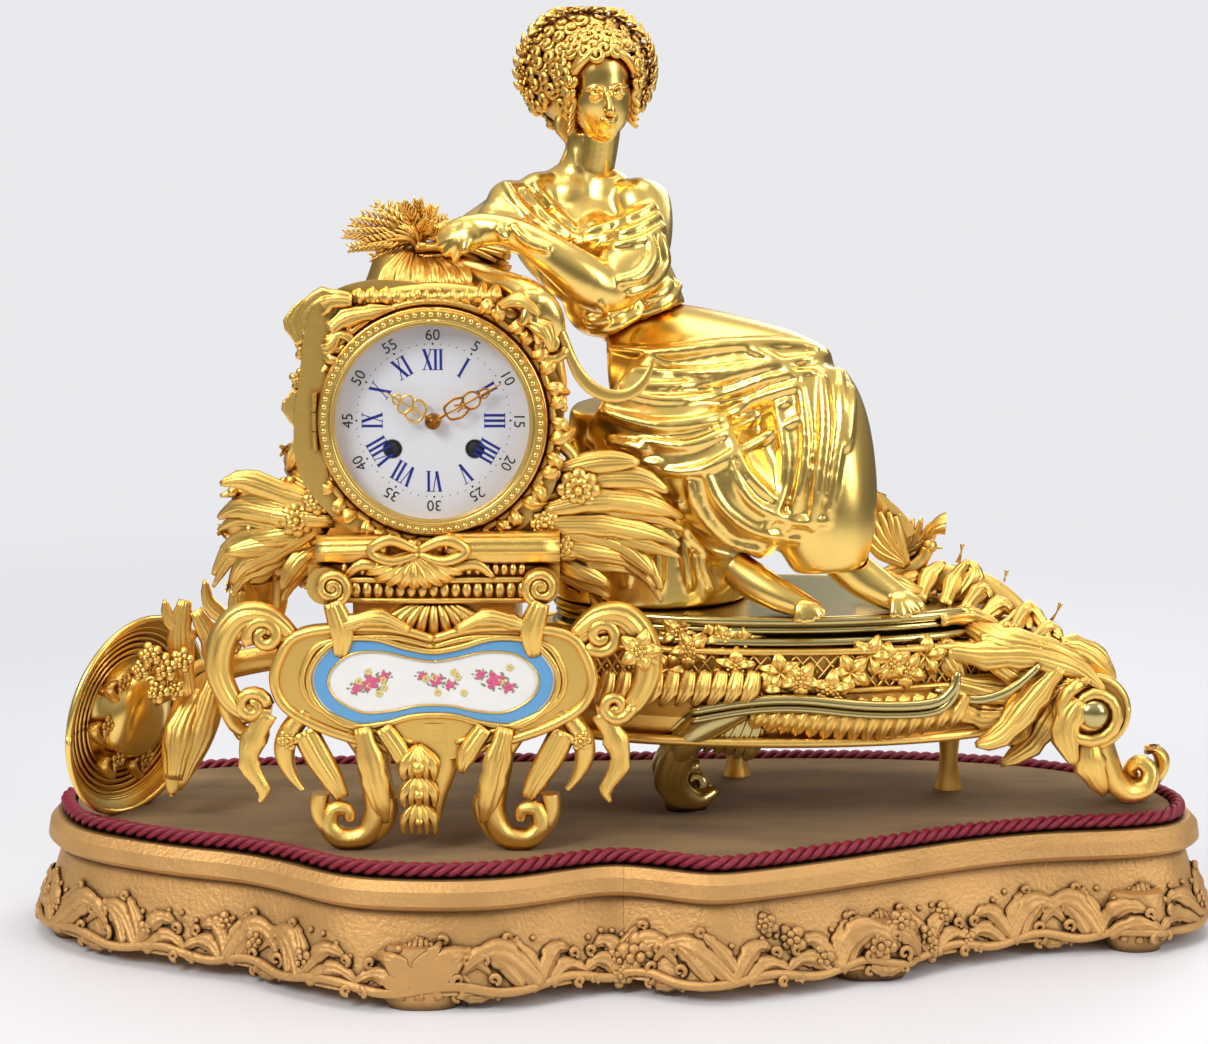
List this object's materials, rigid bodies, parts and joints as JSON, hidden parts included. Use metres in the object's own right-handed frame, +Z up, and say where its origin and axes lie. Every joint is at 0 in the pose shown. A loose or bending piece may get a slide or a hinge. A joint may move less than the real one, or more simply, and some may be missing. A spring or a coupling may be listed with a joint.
{
  "type": "figural mantel clock",
  "caption": "Gilt figural mantel clock with a reclining figure beside a drum movement, on a carved serpentine base",
  "frame": {"origin": "on the floor under the middle of the giltwood base", "axes": "X to the right seen from the front, Y away from the viewer, Z up"},
  "size_m": [0.5451, 0.2229, 0.4185],
  "materials": {
    "giltwood": "worn matt gilding over carved wood",
    "bare_wood": "plain sawn wood",
    "velvet": "worn olive brown velvet",
    "silk_rope": "twisted crimson silk",
    "gilt_bronze": "matt chased gilding",
    "burnished_gilt": "burnished gilding",
    "green_gilt": "greenish burnished gilding",
    "porcelain": "painted and glazed",
    "enamel": "white fired enamel",
    "brass": "turned and polished",
    "bell_metal": "turned",
    "steel": "fine ground",
    "glass": "polished"
  },
  "bodies": {
    "case": {"base_front_rail": "giltwood", "base_back_rail": "giltwood", "base_ends": "giltwood", "base_board": "bare_wood", "velvet_top": "velvet", "rope_trim": "silk_rope", "base_feet": "giltwood", "console": "gilt_bronze", "cartouche": "gilt_bronze", "plaque": "porcelain", "plinth_body": "gilt_bronze", "ledge": "green_gilt", "skirt": "burnished_gilt", "torso": "burnished_gilt", "head": "burnished_gilt", "right_arm": "burnished_gilt", "left_arm": "burnished_gilt", "feet": "burnished_gilt", "sickle": "gilt_bronze", "figure_nuts": "steel", "wheat_sheaf": "gilt_bronze", "left_spray": "gilt_bronze", "right_spray": "gilt_bronze", "left_bracket": "gilt_bronze", "straw_hat": "burnished_gilt", "right_scroll": "gilt_bronze", "right_crest": "gilt_bronze", "bird": "gilt_bronze", "front_scroll_foot": "gilt_bronze", "rear_feet": "gilt_bronze", "drum_case": "brass", "drum_surround": "gilt_bronze", "dial_ring": "brass", "dial": "enamel", "front_plate": "brass", "back_plate": "brass", "movement_straps": "brass", "back_cock": "brass", "bell": "bell_metal", "bell_stand": "brass"},
    "front_door": {"bezel": "gilt_bronze", "bezel_glass": "glass"},
    "back_door": {"rear_door": "brass"},
    "minute": {"centre_arbor": "steel", "cannon_pinion": "brass", "minute_hand": "gilt_bronze"},
    "hour": {"hour_wheel": "brass", "hour_hand": "gilt_bronze"},
    "motion": {"minute_wheel": "brass"},
    "second": {"second_wheel": "brass"},
    "going": {"going_barrel": "brass"},
    "going_key": {"going_arbor": "steel"},
    "third": {"third_wheel": "brass"},
    "escape": {"escape_wheel": "brass"},
    "strike": {"strike_barrel": "brass"},
    "strike_key": {"strike_arbor": "steel"},
    "pins": {"pin_wheel": "brass"},
    "hammer_lever": {"hammer": "steel"},
    "swing": {"pendulum": "brass"},
    "fork": {"anchor": "steel"}
  },
  "joints": [
    {"name": "bezel_hinge", "type": "hinge", "parent": "case", "child": "front_door", "pos_m": [-0.1319, -0.0538, 0.2423], "axis": [0, 0, -1], "range_deg": [0, 100]},
    {"name": "rear_door_hinge", "type": "hinge", "parent": "case", "child": "back_door", "pos_m": [-0.1295, 0.03615, 0.2423], "axis": [0, 0, 1], "range_deg": [0, 100]},
    {"name": "minute_turn", "type": "hinge", "parent": "case", "child": "minute", "pos_m": [-0.0815, 0, 0.2423], "axis": [0, 1, 0], "continuous": true},
    {"name": "hour_turn", "type": "hinge", "parent": "case", "child": "hour", "pos_m": [-0.0815, 0, 0.2423], "axis": [0, 1, 0], "continuous": true},
    {"name": "motion_turn", "type": "hinge", "parent": "case", "child": "motion", "pos_m": [-0.0815, 0, 0.2315], "axis": [0, 1, 0], "continuous": true},
    {"name": "second_turn", "type": "hinge", "parent": "case", "child": "second", "pos_m": [-0.0681, 0, 0.24758], "axis": [0, 1, 0], "continuous": true},
    {"name": "going_turn", "type": "hinge", "parent": "case", "child": "going", "pos_m": [-0.0638, 0, 0.2301], "axis": [0, 1, 0], "continuous": true},
    {"name": "going_winding", "type": "hinge", "parent": "case", "child": "going_key", "pos_m": [-0.0638, 0, 0.2301], "axis": [0, 1, 0], "continuous": true},
    {"name": "third_turn", "type": "hinge", "parent": "case", "child": "third", "pos_m": [-0.08386, 0, 0.25569], "axis": [0, 1, 0], "continuous": true},
    {"name": "escape_turn", "type": "hinge", "parent": "case", "child": "escape", "pos_m": [-0.08141, 0, 0.26826], "axis": [0, 1, 0], "continuous": true},
    {"name": "strike_turn", "type": "hinge", "parent": "case", "child": "strike", "pos_m": [-0.0992, 0, 0.2301], "axis": [0, 1, 0], "continuous": true},
    {"name": "strike_winding", "type": "hinge", "parent": "case", "child": "strike_key", "pos_m": [-0.0992, 0, 0.2301], "axis": [0, 1, 0], "continuous": true},
    {"name": "pin_turn", "type": "hinge", "parent": "case", "child": "pins", "pos_m": [-0.0949, 0, 0.24758], "axis": [0, 1, 0], "continuous": true},
    {"name": "hammer_lift", "type": "hinge", "parent": "case", "child": "hammer_lever", "pos_m": [-0.1143, 0, 0.2463], "axis": [0, 1, 0], "range_deg": [-12, 0]},
    {"name": "pendulum_swing", "type": "hinge", "parent": "case", "child": "swing", "pos_m": [-0.0815, 0, 0.27676], "axis": [0, 1, 0], "range_deg": [-4, 4]},
    {"name": "anchor_rock", "type": "hinge", "parent": "case", "child": "fork", "pos_m": [-0.0815, 0, 0.27676], "axis": [0, 1, 0], "range_deg": [-4, 4]}
  ],
  "couplings": [
    {"joint": "hour_turn", "follows": "minute_turn", "ratio": 0.083333},
    {"joint": "motion_turn", "follows": "minute_turn", "ratio": -0.33333},
    {"joint": "second_turn", "follows": "minute_turn", "ratio": -0.2},
    {"joint": "going_turn", "follows": "minute_turn", "ratio": 0.025},
    {"joint": "third_turn", "follows": "minute_turn", "ratio": -7.5},
    {"joint": "escape_turn", "follows": "minute_turn", "ratio": 52.5},
    {"joint": "pin_turn", "follows": "strike_turn", "ratio": -8},
    {"joint": "anchor_rock", "follows": "pendulum_swing", "ratio": 1}
  ]
}
